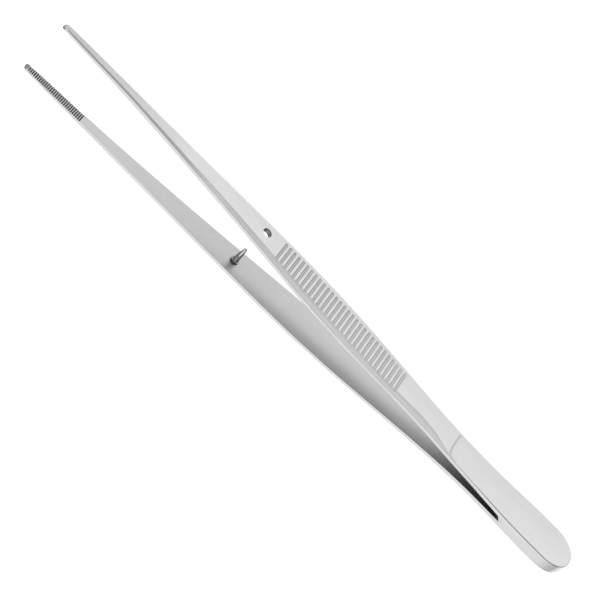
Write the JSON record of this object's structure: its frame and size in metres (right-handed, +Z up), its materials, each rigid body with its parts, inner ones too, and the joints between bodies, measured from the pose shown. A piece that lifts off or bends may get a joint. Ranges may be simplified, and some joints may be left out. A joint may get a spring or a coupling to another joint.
{
  "type": "thumb forceps",
  "caption": "Thumb forceps in satin steel: two springy arms joined at the heel, ribbed grips, a guide pin that faces a hole, and slim tips with fine cross serrations.",
  "frame": {"origin": "halfway along the length, on the plane between the two arms, on the surface that the forceps lie on", "axes": "+X from the heel to the tips, +Y from the holed arm to the pinned arm, +Z up across the width of the arms"},
  "size_m": [0.18, 0.0192, 0.0112],
  "materials": {
    "arm_steel": "satin",
    "pin_steel": "polished"
  },
  "bodies": {
    "root": {"holed_arm": "arm_steel", "pinned_arm": "arm_steel", "guide_pin": "pin_steel"}
  },
  "joints": []
}
